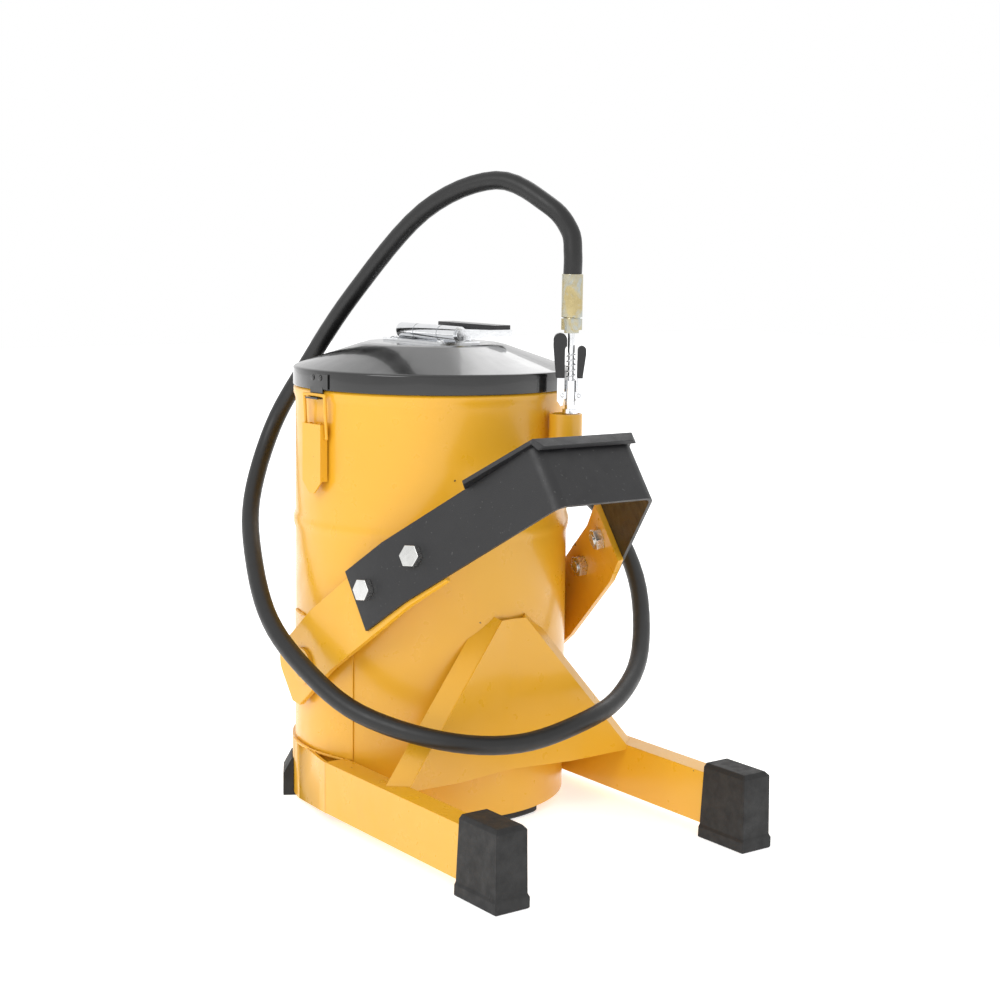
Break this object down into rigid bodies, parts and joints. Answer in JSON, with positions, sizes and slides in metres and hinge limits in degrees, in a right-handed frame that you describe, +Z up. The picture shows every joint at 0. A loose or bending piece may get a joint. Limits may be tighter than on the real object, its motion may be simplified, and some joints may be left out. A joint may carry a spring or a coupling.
{
  "type": "foot-operated grease pump",
  "caption": "Drum grease pump on a welded stand, worked by a rocking foot pedal, with a latched lid, a high-pressure hose and a lever coupler parked in a holster.",
  "frame": {"origin": "centre of the base of the object's box without the hose set, on the floor", "axes": "+Z up, the pedal and the front feet at -Y, the hose outlet at +Y, the pivot shaft along X"},
  "size_m": [0.3416, 0.4411, 0.5275],
  "materials": {
    "yellow_enamel": "semi-gloss stoved enamel",
    "black_powder_coat": "fine textured powder coat",
    "gloss_black": "gloss enamel",
    "black_rubber": "matte moulded rubber",
    "hose_rubber": "satin hose cover",
    "black_grip": "moulded vinyl",
    "chrome": "bright plated",
    "zinc_steel": "bright zinc plated",
    "yellow_zinc": "yellow passivated zinc",
    "bronze": "machined bronze"
  },
  "bodies": {
    "drum": {"drum_shell": "yellow_enamel", "drum_floor": "yellow_enamel", "drum_pad": "black_rubber", "left_rail": "yellow_enamel", "right_rail": "yellow_enamel", "rear_band": "yellow_enamel", "front_bracket": "yellow_enamel", "front_feet": "black_rubber", "rear_feet": "black_rubber", "holster_tube": "yellow_enamel", "shaft_housings": "yellow_enamel", "shaft_bushes": "bronze", "shaft_seals": "black_rubber", "latch_brackets": "yellow_enamel", "latch_pins": "yellow_enamel", "lid": "gloss_black", "lid_gasket": "black_rubber", "latch_keepers": "gloss_black", "keeper_rivets": "gloss_black", "handle_base": "chrome", "handle_rivets": "chrome", "return_spring": "zinc_steel", "pump_cylinder": "zinc_steel", "pump_bolts": "zinc_steel", "valve_ball": "zinc_steel", "valve_spring": "zinc_steel", "outlet_union": "yellow_zinc", "outlet_tube": "zinc_steel", "outlet_bulkhead": "yellow_zinc", "outlet_elbow": "yellow_zinc", "hose": "hose_rubber", "pump_end_nut": "yellow_zinc", "pump_end_ferrule": "yellow_zinc", "gun_end_ferrule": "yellow_zinc", "gun_end_nut": "yellow_zinc", "coupler_body": "chrome", "coupler_spring": "chrome", "coupler_pins": "chrome"},
    "pedal": {"pedal_fork": "black_powder_coat", "pedal_tread": "black_powder_coat", "left_arm": "yellow_enamel", "right_arm": "yellow_enamel", "arm_bolts": "zinc_steel", "arm_nuts": "zinc_steel", "pivot_shaft": "yellow_enamel", "crank": "zinc_steel", "crank_screw": "zinc_steel"},
    "plunger": {"plunger": "zinc_steel", "crank_pin": "zinc_steel", "spring_collar": "zinc_steel"},
    "handle": {"handle_bail": "chrome", "handle_grip": "black_grip"},
    "left_latch": {"left_latch_lever": "yellow_enamel"},
    "right_latch": {"right_latch_lever": "yellow_enamel"},
    "left_bail": {"left_latch_bail": "yellow_enamel"},
    "right_bail": {"right_latch_bail": "yellow_enamel"},
    "left_coupler_lever": {"coupler_left_lever": "chrome", "coupler_left_grip": "black_grip"},
    "right_coupler_lever": {"coupler_right_lever": "chrome", "coupler_right_grip": "black_grip"}
  },
  "joints": [
    {"name": "pedal_hinge", "type": "hinge", "parent": "drum", "child": "pedal", "pos_m": [0, 0.06885, 0.124], "axis": [1, 0, 0], "range_deg": [0, 28], "stiffness_Nm_per_rad": 8, "springref_deg": -68.75},
    {"name": "plunger_slide", "type": "slide", "parent": "drum", "child": "plunger", "axis": [0, 0, 1], "range_m": [-0.019, 0], "deforming": ["return_spring"]},
    {"name": "handle_hinge", "type": "hinge", "parent": "drum", "child": "handle", "pos_m": [0, 0.06885, 0.3943], "axis": [0, -1, 0], "range_deg": [0, 90]},
    {"name": "left_latch_hinge", "type": "hinge", "parent": "drum", "child": "left_latch", "pos_m": [-0.11831, 0.06058, 0.322], "axis": [-0.0698, 0.9976, 0], "range_deg": [0, 110]},
    {"name": "left_bail_hinge", "type": "hinge", "parent": "left_latch", "child": "left_bail", "pos_m": [-0.11791, 0.0606, 0.313], "axis": [0.0698, -0.9976, 0], "range_deg": [0, 110]},
    {"name": "right_latch_hinge", "type": "hinge", "parent": "drum", "child": "right_latch", "pos_m": [0.11831, 0.06058, 0.322], "axis": [-0.0698, -0.9976, 0], "range_deg": [0, 110]},
    {"name": "right_bail_hinge", "type": "hinge", "parent": "right_latch", "child": "right_bail", "pos_m": [0.11791, 0.0606, 0.313], "axis": [0.0698, 0.9976, 0], "range_deg": [0, 110]},
    {"name": "left_coupler_lever_hinge", "type": "hinge", "parent": "drum", "child": "left_coupler_lever", "pos_m": [0.04546, -0.05091, 0.349], "axis": [-0.5878, -0.809, 0], "range_deg": [0, 10], "stiffness_Nm_per_rad": 0.3, "springref_deg": -28.65},
    {"name": "right_coupler_lever_hinge", "type": "hinge", "parent": "drum", "child": "right_coupler_lever", "pos_m": [0.05598, -0.05855, 0.349], "axis": [0.5878, 0.809, 0], "range_deg": [0, 10]}
  ],
  "couplings": [
    {"joint": "plunger_slide", "follows": "pedal_hinge", "m_per_rad": -0.038775},
    {"joint": "left_bail_hinge", "follows": "left_latch_hinge", "ratio": 1},
    {"joint": "right_bail_hinge", "follows": "right_latch_hinge", "ratio": 1},
    {"joint": "right_coupler_lever_hinge", "follows": "left_coupler_lever_hinge", "ratio": 1}
  ]
}
